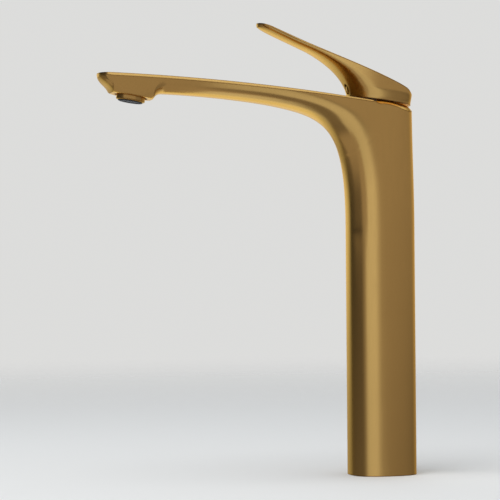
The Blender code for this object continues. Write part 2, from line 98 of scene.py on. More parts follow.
# Lever handle, whose lower edges are crisper than the CAD's
HANDLE_GAP = 1.4             # gap between the body's rim and the handle
HANDLE_FOOT = 20.5           # column axis to the back of the handle's foot
HANDLE_FRONT = 21.6          # column axis to the front of the handle's foot
HANDLE_HALF = 21.5           # half of the handle's width above the foot
FOOT_HEIGHT = 8.0            # the handle widens over this height
NECK_LENGTH = 62.0           # the handle narrows to the lever's width over this length
HANDLE_TOP = 267.2           # handle's top plane on the column's centre line
HANDLE_SLOPE = 0.441         # rise of the lever's top per unit of reach
HANDLE_DROP = 2.0            # the top's rear corner is lowered by this much
NECK_END = (-53.0, 286.6)    # the neck's underside runs into the lever's here
NECK_TOP_END = -50.0         # top end of the section that closes the neck
LEVER_TIP = -lever_low.y     # column axis to the lever's tip
LEVER_HALF = 10.0            # half of the lever's width
LEVER_ROUND = 8.0            # length of its rounded tip, in plan
LEVER_ROUND_POWER = 2.2      # exponent of that tip's superellipse
LEVER_POWER = 2.4            # exponent of the lever's rounding below, towards its tip
LEVER_EDGE = 0.5             # width of the bevel along the handle's top edges
LEVER_BOW = 0.7              # the lever's top arches by this much
LEVER_DROOP = 0.8            # its last quarter bends down by this much
PLUG_CENTRE = (-22.3, 260.6) # where the plug covers the grub screw's hole
PLUG_TILT = math.radians(12.0)
PLUG_HOLE = 3.6

# Height over which a section's side rounds out above its underside
HEAD_ROUNDING = 18.5
NECK_ROUNDING = 13.5
LEVER_ROUNDING = 3.4
LEVER_TIP_ROUNDING = 2.6

# Cartridge, measured along its own axis from the body's top plane
PIVOT_DEPTH = 24.0           # lift axis below the top plane
SWEEP_INSIDE = 31.9          # what stays still is within this distance of the pivot
SWEEP_OUTSIDE = 32.2         # what lifts is beyond this distance
CHAMBER_RADIUS = 14.0
CHAMBER_DEPTH = 43.0

# Column's inside and deck fixing
BORE_RADIUS = 19.0
BORE_TOP = 186.0             # underside of the block that carries the inlets
SHANK_RADIUS = 16.0
SHANK_BOTTOM = -58.0
DECK = 30.0                  # thickness of the deck that the fixing clamps
THREAD_PITCH = 2.0
THREAD_DEPTH = 1.0
WASHER_RADIUS = 26.0
SOFT_WASHER = 3.0            # thickness of the rubber washer
FLAT_WASHER = 2.0            # thickness of the steel washer
NUT_HEIGHT = 9.4
NUT_FLATS = 42.0             # distance across the nut's flats

FINE = 5                     # stations made for each one of the CAD's
STEPS = 128                  # steps round a small turned piece


# Mesh helpers ------------------------------------------------------------------------------------

def bezier(a, b, c, d, t):
    """The point at t on a cubic curve from a to d."""
    s = 1.0 - t
    return tuple(s**3 * p + 3 * s * s * t * q + 3 * s * t * t * r + t**3 * w
                 for p, q, r, w in zip(a, b, c, d))


def round_off(share, power):
    """Rise from 0 to 1 along a quarter of a superellipse."""
    share = min(max(share, 0.0), 1.0)
    return (1.0 - (1.0 - share) ** power) ** (1.0 / power)


def blend(share):
    """Ease from 0 to 1."""
    share = min(max(share, 0.0), 1.0)
    return share * share * (3.0 - 2.0 * share)


def mix(a, b, share):
    return a + (b - a) * share


def hull(name, stations, width, across=26, power=None):
    """Loft through sections that stand square to the plane of symmetry.

    A station is its inner and outer point (y, z), the height over which its side rounds out, the half width
    that the rounding starts from, and the bevel at its outer edge. width(y, z) gives the full half width, and
    power(y) the rounding's exponent.
    """
    rings = []
    for inner, outer, depth, flat, bevel in stations:
        length = math.dist(inner, outer)
        exponent = power(outer[0]) if power else SQUARENESS

        def half(share):
            y, z = mix(inner[0], outer[0], share), mix(inner[1], outer[1], share)
            full = width(y, z)
            base = min(flat, full)
            return y, z, base + (full - base) * round_off(share * length / depth, exponent)

        edge = min(bevel, half(1.0)[2])
        last = 1.0 - EDGE_STEEP * edge / length
        side = [half(last * (1 - math.cos(math.pi * k / across)) / 2) for k in range(across + 1)]
        top = half(1.0)
        side.append((top[0], top[1], top[2] - edge))
        right = [(x, y, z) for y, z, x in side]
        left = [(-x, y, z) for x, y, z in reversed(right)]
        rings.append([(0.0, *inner), *right, (0.0, *outer), *left])
    built = bmesh.new()
    rows = [[built.verts.new(Vector(p) * MM) for p in points] for points in rings]
    count = len(rows[0])
    for low, high in zip(rows, rows[1:]):
        for i in range(count):
            j = (i + 1) % count
            built.faces.new((low[i], low[j], high[j], high[i]))
    built.faces.new(reversed(rows[0]))
    built.faces.new(rows[-1])
    bmesh.ops.remove_doubles(built, verts=built.verts, dist=0.000004)
    bmesh.ops.dissolve_degenerate(built, edges=built.edges, dist=0.000002)
    bmesh.ops.recalc_face_normals(built, faces=built.faces)
    return settle(built, name)


def show(mesh, name):
    thing = bpy.data.objects.new(name, mesh)
    bpy.context.scene.collection.objects.link(thing)
    return thing


def settle(built, name):
    """Turn a bmesh into an object."""
    mesh = bpy.data.meshes.new(name)
    built.to_mesh(mesh)
    built.free()
    return show(mesh, name)


def turned(name, outline, steps=96, closed=False, wave=None):
    """Turn an outline of (radius, height) points round Z. wave(radius, height, turn) may change a radius."""
    built = bmesh.new()
    rows = []
    for k in range(steps):
        a = math.tau * k / steps
        row = []
        for r, z in outline:
            r = wave(r, z, k / steps) if wave else r
            row.append(built.verts.new((r * MM * math.cos(a), r * MM * math.sin(a), z * MM)))
        rows.append(row)
    count = len(outline)
    spans = count if closed else count - 1
    for k in range(steps):
        one, two = rows[k], rows[(k + 1) % steps]
        for i in range(spans):
            j = (i + 1) % count
            built.faces.new((one[i], one[j], two[j], two[i]))
    bmesh.ops.remove_doubles(built, verts=built.verts, dist=0.000002)
    bmesh.ops.dissolve_degenerate(built, edges=built.edges, dist=0.000001)
    bmesh.ops.recalc_face_normals(built, faces=built.faces)
    return settle(built, name)


def prism(name, sides, across_flats, bottom, top):
    """A regular prism that stands on Z."""
    radius = across_flats / 2 / math.cos(math.pi / sides) * MM
    built = bmesh.new()
    bmesh.ops.create_cone(built, cap_ends=True, segments=sides, radius1=radius, radius2=radius,
                          depth=(top - bottom) * MM)
    bmesh.ops.translate(built, vec=(0.0, 0.0, (top + bottom) / 2 * MM), verts=built.verts)
    return settle(built, name)


def pins(name, places, radius, bottom, top, segments=24):
    """Upright pins at (x, y) places, in one mesh."""
    built = bmesh.new()
    for x, y in places:
        made = bmesh.ops.create_cone(built, cap_ends=True, segments=segments, radius1=radius * MM,
                                     radius2=radius * MM, depth=(top - bottom) * MM)
        bmesh.ops.translate(built, vec=Vector((x, y, (top + bottom) / 2)) * MM, verts=made["verts"])
    return settle(built, name)


def circle(count, radius):
    """Even (x, y) places round a circle."""
    return [(radius * math.cos(math.tau * k / count), radius * math.sin(math.tau * k / count))
            for k in range(count)]


def block(name, size):
    built = bmesh.new()
    bmesh.ops.create_cube(built, size=1.0)
    bmesh.ops.scale(built, vec=Vector(size) * MM, verts=built.verts)
    return settle(built, name)


def ball(name, radius, segments=STEPS):
    built = bmesh.new()
    bmesh.ops.create_uvsphere(built, u_segments=segments, v_segments=segments // 2, radius=radius * MM)
    return settle(built, name)


def spot(point, lean):
    """Matrix of a frame at (y, z) whose Z axis leans towards +Y by the angle lean."""
    return Matrix.Translation(Vector((0.0, *point)) * MM) @ Matrix.Rotation(-lean, 4, "X")


def put(thing, matrix):
    """Move a thing's mesh by a matrix."""
    thing.data.transform(matrix)
    return thing


def carve(target, *tools, operation="DIFFERENCE"):
    """Cut the target with the tools, and leave the result as its mesh."""
    for tool in tools:
        step = target.modifiers.new("cut", "BOOLEAN")
        step.operation = operation
        step.solver = "EXACT"
        step.object = tool
    bpy.context.view_layer.update()
    mesh = bpy.data.meshes.new_from_object(target.evaluated_get(bpy.context.evaluated_depsgraph_get()))
    target.modifiers.clear()
    target.data = mesh
    for tool in tools:
        bpy.data.objects.remove(tool, do_unlink=True)


def shade(thing, angle=20):
    """Shade smooth, apart from edges sharper than the angle in degrees."""
    thing.data.shade_smooth()
    thing.data.set_sharp_from_angle(angle=math.radians(angle))


# Shapes ------------------------------------------------------------------------------------------

def along_axis(depth):
    """The (y, z) point on the cartridge's axis at a depth below the body's top plane."""
    return (-depth * math.sin(TILT), RIM_HEIGHT - depth * math.cos(TILT))


def superellipse(y, half):
    """Half width of a rounded square at y."""
    return half * max(0.0, 1.0 - (abs(y) / half) ** SQUARENESS) ** (1.0 / SQUARENESS)


def spout_top(y):
    if y > -SPOUT_BEND:
        return RIM_HEIGHT - y * math.tan(TILT)
    beyond = -SPOUT_BEND - y
    return RIM_HEIGHT + (SPOUT_BEND + beyond) * math.tan(TILT) - SPOUT_BOW * beyond**2


def column_back(z):
    return COLUMN_HALF - RIM_INSET * blend((z - ELBOW_START) / (RIM_HEIGHT - ELBOW_START))


def body_width(y, z):
    if y > 0.0:
        back = column_back(z)
        return superellipse(min(y, back), back) * COLUMN_HALF / back
    eased = blend((-TAPER_START - y) / TAPER_LENGTH)
    even = min(-y / TAPER_REACH, 1.0)
    taper = mix(COLUMN_HALF, TIP_HALF, eased * TAPER_EASE + even * (1.0 - TAPER_EASE))
    start = -SPOUT_REACH + TIP_ROUND
    if y < start:
        return taper * max(0.0, 1.0 - ((start - y) / TIP_ROUND) ** TIP_POWER) ** (1.0 / TIP_POWER)
    return taper


def underside(t):
    """The body's front and lower edge: the elbow for t from 0 to 1, and the spout for t from 1 to 2."""
    if t <= 1.0:
        return bezier((-COLUMN_HALF, ELBOW_START), (-COLUMN_HALF, 232.5), (-33.5, 240.6), ELBOW_END, t)
    return bezier(ELBOW_END, (-90.0, 251.8), (-125.0, 254.8), SPOUT_END, t - 1.0)


def shares(steps, first=0):
    """Even shares from 0 to 1, FINE for each of the CAD's steps, from the first one on."""
    return [k / (steps * FINE) for k in range(first, steps * FINE + 1)]


def body_stations():
    rear_top = spout_top(COLUMN_HALF)
    rim_back = column_back(rear_top)
    back_share, rim_share = 0.33, 0.58        # how far the underside has come at the rim's back and centre
    found = []

    def level(z):
        return (-COLUMN_HALF, z), (COLUMN_HALF, z), COLUMN_HALF, 0.0, 0.0

    for k in range(8):
        found.append(level(STRAIGHT_TOP * k / 8))
    for s in shares(4):
        found.append(level(mix(STRAIGHT_TOP, ELBOW_START, s)))
    for s in shares(3, 1):
        t = back_share * s
        rise = mix(ELBOW_START, rear_top, blend(t / 0.36))
        found.append((underside(t), (column_back(rise), rise), COLUMN_HALF, 0.0, 0.0))
    for s in shares(8):
        y = rim_back * math.cos(math.pi / 2 * s) ** (2 / SQUARENESS)
        found.append((underside(mix(back_share, rim_share, s)), (y, spout_top(y)),
                      mix(COLUMN_HALF, RIM_ROUNDING, s), 0.0, EDGE * s))
    for s in shares(8, 1):
        y = mix(0.0, ELBOW_TOP_END, s)
        found.append((underside(mix(rim_share, 1.0, s)), (y, spout_top(y)),
                      mix(RIM_ROUNDING, ELBOW_ROUNDING, s), 0.0, EDGE))
    for s in shares(7, 1):
        y = mix(ELBOW_TOP_END, SPOUT_END[0], s)
        found.append((underside(1.0 + s), (y, spout_top(y)),
                      mix(ELBOW_ROUNDING, SPOUT_ROUNDING, s), 0.0, EDGE))
    return found + boss_stations()


def boss_stations():
    """Sections round the outlet boss, and on to the spout's tip."""
    centre, height = BOSS_CENTRE
    run, rise = math.cos(OUTLET_TILT), math.sin(OUTLET_TILT)
    rear = (centre + BOSS_RADIUS * run, height - BOSS_RADIUS * rise)
    front = (centre - BOSS_RADIUS * run, height + BOSS_RADIUS * rise)
    lead = 2.0                                # the top end of a section runs ahead by this much at the front
    found = []
    for t in shares(3, 1):
        inner = bezier(SPOUT_END, (-153.0, 255.6), (-155.0, 253.9), rear, t)
        found.append((inner, (inner[0], spout_top(inner[0])),
                      mix(SPOUT_ROUNDING, BOSS_ROUNDING, t), 0.0, EDGE))
    for s in shares(12, 1)[:-1]:
        angle = math.pi * s
        inner = (centre + BOSS_RADIUS * run * math.cos(angle),
                 height - BOSS_RADIUS * rise * math.cos(angle))
        outer = inner[0] - lead * s
        found.append((inner, (outer, spout_top(outer)), BOSS_ROUNDING, BOSS_RADIUS * math.sin(angle), EDGE))
    for t in shares(4):
        inner = bezier(front, (front[0] - 1.5, front[1] + 4.0), (-190.5, 262.0), (-192.1, 266.4), t)
        outer = mix(front[0] - lead, -SPOUT_REACH + 0.1, t)
        found.append((inner, (outer, spout_top(outer)),
                      mix(BOSS_ROUNDING, TIP_ROUNDING, t), 0.0, EDGE * (1 - 0.5 * t)))
    return found


def handle_foot(y):
    """Height of the handle's lower edge."""
    return RIM_HEIGHT + HANDLE_GAP / math.cos(TILT) - y * math.tan(TILT)


def handle_width(y, z):
    grow = blend((z - handle_foot(y)) / FOOT_HEIGHT)
    half = mix(HANDLE_FOOT, HANDLE_HALF, grow)
    if y > 0.0:
        return superellipse(y, half)
    taper = mix(half, LEVER_HALF, blend(-y / NECK_LENGTH))
    start = -LEVER_TIP + LEVER_ROUND
    if y < start:
        share = (start - y) / LEVER_ROUND
        return taper * max(0.0, 1.0 - share**LEVER_ROUND_POWER) ** (1.0 / LEVER_ROUND_POWER)
    return taper


def handle_top(y):
    share = (HANDLE_HALF - y) / (HANDLE_HALF + LEVER_TIP)
    return HANDLE_TOP - HANDLE_SLOPE * y + LEVER_BOW * 4.0 * share * (1.0 - share)


def handle_power(y):
    """Exponent of a section's rounding, from the head to the lever."""
    return mix(SQUARENESS, LEVER_POWER, blend((-10.0 - y) / 45.0))


def handle_stations():
    foot, full = HANDLE_FOOT, HANDLE_HALF
    start = (-HANDLE_FRONT, handle_foot(-HANDLE_FRONT))
    back_share, head_share = 0.18, 0.52       # how far the neck has come at the head's back and centre

    def neck(t):
        return bezier(start, (-HANDLE_FRONT + 0.2, 265.6), (-33.0, 278.4), NECK_END, t)

    found = []
    for s in shares(3):
        outer = (mix(foot, full, blend(s)), mix(handle_foot(foot), handle_top(full) - HANDLE_DROP, s))
        found.append((neck(back_share * s), outer, mix(HANDLE_FRONT, HEAD_ROUNDING, s), 0.0, 0.0))
    for s in shares(8, 1):
        y = full * math.cos(math.pi / 2 * s) ** (2 / SQUARENESS)
        drop = HANDLE_DROP * (1.0 - blend((full - y) / 7.0))
        found.append((neck(mix(back_share, head_share, s)), (y, handle_top(y) - drop),
                      mix(HEAD_ROUNDING, NECK_ROUNDING, s), 0.0, LEVER_EDGE * s))
    for s in shares(7, 1):
        y = mix(0.0, NECK_TOP_END, s)
        found.append((neck(mix(head_share, 1.0, s)), (y, handle_top(y)),
                      mix(NECK_ROUNDING, LEVER_ROUNDING, s), 0.0, LEVER_EDGE))
    for t in shares(7, 1):
        inner = bezier(NECK_END, (-64.0, 291.4), (-77.5, 297.3), (-LEVER_TIP + 0.5, 300.9), t)
        outer = mix(NECK_TOP_END, -LEVER_TIP + 0.15, t)
        droop = LEVER_DROOP * max(0.0, t - 0.75) ** 2 / 0.25**2
        found.append((inner, (outer, handle_top(outer) - droop),
                      mix(LEVER_ROUNDING, LEVER_TIP_ROUNDING, t), 0.0, LEVER_EDGE * (1.0 - 0.5 * t)))
    return found


def rim_sweep():
    """What the handle's foot sweeps round the pivot, over the rear and sides of the rim."""
    lean = math.atan(0.35)
    width, height = 80.0, 40.0
    outside = block("rim_sweep", (width, width, height))
    middle = Vector((0.0, -11.0, 0.0)) + Matrix.Rotation(-lean, 3, "X") @ Vector((0.0, width / 2, height / 2))
    put(outside, Matrix.Translation(middle * MM) @ Matrix.Rotation(-lean, 4, "X"))
    put(outside, spot(along_axis(0.0), TILT))
    carve(outside, put(ball("rim_ball", SWEEP_INSIDE), spot(along_axis(PIVOT_DEPTH), TILT)))
    return outside


def make_body():
    body = hull("body_shell", body_stations(), body_width)
    seat_radius, seat_depth = 17.0, 3.2
    mouth_radius = 10.9
    carve(body,
          turned("bore", [(0.0, -5.0), (BORE_RADIUS, -5.0), (BORE_RADIUS, BORE_TOP), (0.0, BORE_TOP)]),
          put(turned("chamber", [(0.0, 20.0), (seat_radius, 20.0), (seat_radius, -seat_depth),
                                 (CHAMBER_RADIUS, -seat_depth), (CHAMBER_RADIUS, -CHAMBER_DEPTH),
                                 (0.0, -CHAMBER_DEPTH)]), spot(along_axis(0.0), TILT)),
          put(turned("outlet", [(0.0, 9.0), (mouth_radius, 9.0), (mouth_radius, -10.0), (0.0, -10.0)]),
              spot(BOSS_CENTRE, OUTLET_TILT)),
          rim_sweep())
    shade(body)
    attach(body, "root")
    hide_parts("body")
    dress(body, FINISHES["brushed_gold"])


def make_handle():
    handle = hull("lever_shell", handle_stations(), handle_width, power=handle_power)
    plug = spot(PLUG_CENTRE, -PLUG_TILT) @ Matrix.Rotation(math.pi / 2, 4, "X")
    carve(handle, put(ball("foot_ball", SWEEP_OUTSIDE), spot(along_axis(PIVOT_DEPTH), TILT)),
          put(turned("plug_hole", [(0.0, 14.0), (PLUG_HOLE, 14.0), (PLUG_HOLE, -2.6), (0.0, -2.6)]), plug))
    shade(handle)
    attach(handle, "lever")
    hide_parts("lever_handle")
    dress(handle, FINISHES["lever_gold"])


def stand_for(piece, node, angle=20):
    """The piece takes the place of a CAD node on the root, with that node's slot."""
    shade(piece, angle)
    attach(piece, "root")
    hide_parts(node)
    dress(piece, FINISHES[SLOTS[node]])


def make_outlet():
    """The aerator's ring, and the insert with two rings of jets round a centre jet."""
    outlet = spot(BOSS_CENTRE, OUTLET_TILT)
    outer, inner, lip, edge = 10.6, 8.3, AERATOR_RADIUS - 0.6, 0.25
    top, step, bottom = 6.0, 0.9, -3.0
    ring = turned("aerator_ring", [
        (inner, top), (outer, top), (outer, step), (AERATOR_RADIUS, 0.5), (AERATOR_RADIUS, bottom + 0.6),
        (AERATOR_RADIUS - edge / 3, bottom + 0.6 - edge), (lip, bottom + edge / 3), (lip - edge, bottom),
        (inner + edge, bottom), (inner, bottom + edge)], STEPS, closed=True)
    stand_for(put(ring, outlet), "aerator_shell")
    reach = inner - GAP
    face, raised = -3.4, -3.7
    insert = turned("jet_insert", [(0.0, 1.2), (reach, 1.2), (reach, -3.3), (reach - 0.12, -3.58),
                                   (reach - 0.4, raised), (6.9, raised), (6.6, face), (0.0, face)], STEPS)
    jets = circle(12, 5.4) + circle(6, 2.9) + [(0.0, 0.0)]
    carve(insert, pins("jets", jets, 0.62, face - 1.1, -0.6))
    stand_for(put(insert, outlet), "aerator_insert")


def make_shank():
    """The threaded shank, with its collar inside the column's bore."""
    hole, collar = SHANK_RADIUS - 3.5, BORE_RADIUS - GAP
    top, floor = 12.0, 2.4
    bottom, run_out = SHANK_BOTTOM + 1.2, 1.0
    rows = round((run_out - bottom) / THREAD_PITCH * 6)
    heights = [mix(run_out, bottom, k / rows) for k in range(rows + 1)]

    def thread(r, z, turn):
        if r != SHANK_RADIUS or not bottom <= z <= run_out:
            return r
        phase = (z / THREAD_PITCH + turn) % 1.0
        fade = min(1.0, (run_out - z) / THREAD_PITCH, (z - bottom) / 0.4)
        return r - THREAD_DEPTH * fade * abs(2.0 * phase - 1.0)

    shank = turned("threaded_shank", [(hole, top), (collar - 0.4, top), (collar, top - 0.4), (collar, floor),
                                      (SHANK_RADIUS, floor), *[(SHANK_RADIUS, z) for z in heights],
                                      (SHANK_RADIUS - 1.2, SHANK_BOTTOM), (hole, SHANK_BOTTOM)],
                   72, closed=True, wave=thread)
    stand_for(shank, "mounting_shank", 40)


def make_nut(high):
    """The hexagon nut below the washers, with chamfered corners and a chamfered bore."""
    low, loose = high - NUT_HEIGHT, SHANK_RADIUS + GAP
    face, corner = 20.6, 24.75
    slope = (corner - face) * math.tan(math.radians(30.0))
    nut = prism("hex_nut", 6, NUT_FLATS, low, high)
    carve(nut, turned("nut_chamfer", [(0.0, high), (face, high), (corner, high - slope),
                                      (corner, low + slope), (face, low), (0.0, low)]),
          operation="INTERSECT")
    wide, lift, deep = loose + 2.5, 2.0, 0.5
    carve(nut, turned("nut_bore", [(0.0, high + lift), (wide, high + lift), (loose, high - deep),
                                   (loose, low + deep), (wide, low - lift), (0.0, low - lift)]))
    stand_for(nut, "mounting_nut")


def make_washer(name, node, radius, floor, top, edge):
    """A washer round the shank, with edges rounded by the size edge."""
    loose = SHANK_RADIUS + GAP
    middle = 0.3 * edge
    outline = [(loose, top), (radius - edge, top), (radius - middle, top - middle), (radius, top - edge),
               (radius, floor + edge), (radius - middle, floor + middle), (radius - edge, floor),
               (loose, floor)]
    stand_for(turned(name, outline, STEPS, closed=True), node)


def make_fixing():
    """Shank, nut, washers and seal, with the deck between the seal and the soft washer."""
    flat_top = -DECK - SOFT_WASHER - GAP
    flat_floor = flat_top - FLAT_WASHER
    make_shank()
    make_nut(flat_floor - GAP)
    make_washer("flat_washer", "steel_washer", WASHER_RADIUS, flat_floor, flat_top, 0.35)
    make_washer("soft_washer", "rubber_washer", WASHER_RADIUS, -DECK - SOFT_WASHER, -DECK, 0.7)
    make_washer("base_seal", "deck_seal", BORE_RADIUS - GAP, 0.0, 2.1, 0.5)


def make_collar():
    """The dark collar in the gap under the lever's head: it stands for the trim ring, and its dark finish
    also paints the shade in that gap.
    """
    inner, outer, top, bottom = 9.9, 16.7, -0.8, -2.9
    collar = turned("trim_and_shade_collar", [(inner, top), (14.3, top), (14.6, top - 0.04), (16.5, -1.5),
                                    (outer, -1.75), (outer, bottom), (inner, bottom)], STEPS, closed=True)
    stand_for(put(collar, spot(along_axis(0.0), TILT)), "trim_ring")


# Materials ---------------------------------------------------------------------------------------

EDGE_SHADE = (0.26, 0.125, 0.03)      # painted shade along the gold's sharp edges, for the dark reflection lines there
EDGE_TINT = (1.0, 0.80, 0.45)        # the gold's grazing reflections
GOLD_SHADE_REACH = 1.0                     # width of the painted edge shade on the gold, in millimetres
SMALL_REACH = 0.3                    # width of the rubbed edges on small pieces, in millimetres


def scaled(colour, factor, lift=0.0):
    return tuple(min(1.0, factor * c + lift) for c in colour)


def new_material(name):
    made = bpy.data.materials.new(name)
    made.use_nodes = True
    return made, made.node_tree.nodes, made.node_tree.links, made.node_tree.nodes["Principled BSDF"]


def texture(made_nodes, links, stretch, detail=3.0):
    """Noise in the object's own metres, with its scale stretched along each axis."""
    place = made_nodes.new("ShaderNodeTexCoord")
    scale = made_nodes.new("ShaderNodeMapping")
    scale.inputs["Scale"].default_value = stretch
    links.new(place.outputs["Object"], scale.inputs["Vector"])
    noise = made_nodes.new("ShaderNodeTexNoise")
    noise.inputs["Scale"].default_value = 1.0
    noise.inputs["Detail"].default_value = detail
    links.new(scale.outputs["Vector"], noise.inputs["Vector"])
    return noise.outputs["Fac"]


def spread(made_nodes, links, value, low, high, start=0.3, end=0.7, smooth=False):
    """Map a value between start and end, such as a noise's middle part, onto low to high."""
    tone = made_nodes.new("ShaderNodeMapRange")
    if smooth:
        tone.interpolation_type = "SMOOTHSTEP"
    tone.inputs["From Min"].default_value = start
    tone.inputs["From Max"].default_value = end
    tone.inputs["To Min"].default_value = low
    tone.inputs["To Max"].default_value = high
    links.new(value, tone.inputs["Value"])
    return tone.outputs["Result"]


def tinted(made_nodes, links, factor, one, two):
    """Mix two colours, given as three numbers or as a socket."""
    step = made_nodes.new("ShaderNodeMix")
    step.data_type = "RGBA"
    links.new(factor, step.inputs["Factor"])
    for socket, colour in ((step.inputs["A"], one), (step.inputs["B"], two)):
        if isinstance(colour, tuple):
            socket.default_value = (*colour, 1.0)
        else:
            links.new(colour, socket)
    return step.outputs["Result"]


def raise_surface(made_nodes, links, shader, value, strength, depth):
    """Bump the surface by a value, with a depth in millimetres."""
    bump = made_nodes.new("ShaderNodeBump")
    bump.inputs["Strength"].default_value = strength
    bump.inputs["Distance"].default_value = depth * MM
    links.new(value, bump.inputs["Height"])
    links.new(bump.outputs["Normal"], shader.inputs["Normal"])


def edge_share(made_nodes, links, reach):
    """1 on a sharp edge, falling to 0 at the reach in millimetres from it."""
    rounded = made_nodes.new("ShaderNodeBevel")
    rounded.samples = 6
    rounded.inputs["Radius"].default_value = reach * MM
    surface = made_nodes.new("ShaderNodeNewGeometry")
    agree = made_nodes.new("ShaderNodeVectorMath")
    agree.operation = "DOT_PRODUCT"
    links.new(rounded.outputs["Normal"], agree.inputs[0])
    links.new(surface.outputs["Normal"], agree.inputs[1])
    return spread(made_nodes, links, agree.outputs["Value"], 1.0, 0.0, 0.985, 0.999)


def gold(name, axis, colour=(0.78, 0.48, 0.155), roughness=0.23):
    """Satin gold with fine brush lines along the axis 0, 1 or 2, and painted shade that darkens it along its
    sharp edges.
    """
    made, made_nodes, links, shader = new_material(name)
    shader.inputs["Metallic"].default_value = 1.0
    shader.inputs["Specular Tint"].default_value = (*EDGE_TINT, 1.0)
    stretch = [2600.0, 2600.0, 2600.0]
    stretch[axis] = 60.0
    lines = texture(made_nodes, links, stretch)
    cloud = texture(made_nodes, links, (28.0, 28.0, 28.0), 4.0)
    gloss = spread(made_nodes, links, lines, roughness - 0.03, roughness + 0.03)
    links.new(gloss, shader.inputs["Roughness"])
    clouds = spread(made_nodes, links, cloud, 0.0, 1.0)
    body_tone = tinted(made_nodes, links, clouds, scaled(colour, 0.96), colour)
    strokes = spread(made_nodes, links, lines, 0.0, 0.07, 0.4, 0.75)
    brushed = tinted(made_nodes, links, strokes, body_tone, scaled(colour, 0.6))
    # Painted shade: the colour turns dark brown within about a millimetre of a sharp edge, standing in for
    # the dark reflection lines along the bevels.
    edge_shaded = tinted(made_nodes, links, edge_share(made_nodes, links, GOLD_SHADE_REACH), brushed, EDGE_SHADE)
    links.new(edge_shaded, shader.inputs["Base Color"])
    raise_surface(made_nodes, links, shader, lines, 0.03, 0.05)
    return made


def machined(name, colour, roughness):
    """Turned or milled metal: fine tool marks, a clouded tone and paler, rubbed edges."""
    made, made_nodes, links, shader = new_material(name)
    shader.inputs["Metallic"].default_value = 1.0
    marks = texture(made_nodes, links, (300.0, 300.0, 5200.0))
    cloud = texture(made_nodes, links, (120.0, 120.0, 120.0), 5.0)
    gloss = spread(made_nodes, links, marks, roughness - 0.08, roughness + 0.10)
    links.new(gloss, shader.inputs["Roughness"])
    clouds = spread(made_nodes, links, cloud, 0.0, 1.0)
    base = tinted(made_nodes, links, clouds, scaled(colour, 0.78), colour)
    rubbed = tinted(made_nodes, links, edge_share(made_nodes, links, SMALL_REACH), base, scaled(colour, 1.18))
    links.new(rubbed, shader.inputs["Base Color"])
    raise_surface(made_nodes, links, shader, marks, 0.25, 0.03)
    return made


def moulded(name, colour, roughness, grain=1400.0, depth=0.02):
    """Moulded plastic or rubber: a fine grain, faint flow marks and paler edges."""
    made, made_nodes, links, shader = new_material(name)
    skin = texture(made_nodes, links, (grain, grain, grain))
    flow = texture(made_nodes, links, (60.0, 60.0, 190.0), 4.0)
    gloss = spread(made_nodes, links, skin, roughness - 0.06, roughness + 0.08)
    links.new(gloss, shader.inputs["Roughness"])
    base = tinted(made_nodes, links, spread(made_nodes, links, flow, 0.0, 1.0), scaled(colour, 0.86), colour)
    rubbed = tinted(made_nodes, links, edge_share(made_nodes, links, SMALL_REACH), base,
                    scaled(colour, 1.12, 0.015))
    links.new(rubbed, shader.inputs["Base Color"])
    raise_surface(made_nodes, links, shader, skin, 0.3, depth)
    return made


def lapped(name, colour):
    """Fired ceramic, lapped smooth, with faint specks."""
    made, made_nodes, links, shader = new_material(name)
    specks = texture(made_nodes, links, (3200.0, 3200.0, 3200.0), 1.0)
    cloud = texture(made_nodes, links, (200.0, 200.0, 200.0))
    links.new(spread(made_nodes, links, cloud, 0.12, 0.22), shader.inputs["Roughness"])
    base = tinted(made_nodes, links, spread(made_nodes, links, cloud, 0.0, 1.0), scaled(colour, 0.95), colour)
    specked = tinted(made_nodes, links, spread(made_nodes, links, specks, 0.0, 0.35, 0.62, 0.75), base,
                     (0.45, 0.43, 0.40))
    links.new(specked, shader.inputs["Base Color"])
    raise_surface(made_nodes, links, shader, specks, 0.05, 0.01)
    return made


def dress(thing, made):
    thing.data.materials.clear()
    thing.data.materials.append(made)


FINISHES = {
    "brushed_gold": gold("body_gold", 2),
    "lever_gold": gold("lever_gold", 1),
    "raw_brass": machined("raw_brass", (0.70, 0.52, 0.23), 0.34),
    "steel": machined("steel", (0.58, 0.58, 0.57), 0.32),
    "rubber": moulded("rubber", (0.022, 0.022, 0.023), 0.72),
    "ceramic": lapped("ceramic", (0.86, 0.85, 0.82)),
    "cartridge_plastic": moulded("cartridge_plastic", (0.74, 0.74, 0.71), 0.42),
    "dark_plastic": moulded("dark_plastic", (0.018, 0.017, 0.017), 0.55),
}

SLOTS = {entry["node"]: entry["material_slot"] for entry in frame["record"]["subparts"]}
for name, slot in SLOTS.items():
    dress(nodes[name], FINISHES[slot])
make_body()
make_handle()
make_outlet()
make_fixing()
make_collar()


# Stage -------------------------------------------------------------------------------------------

WARM = (1.0, 0.93, 0.90)
PALE = (0.95, 1.0, 1.04)
COOL = (0.94, 1.01, 1.10)

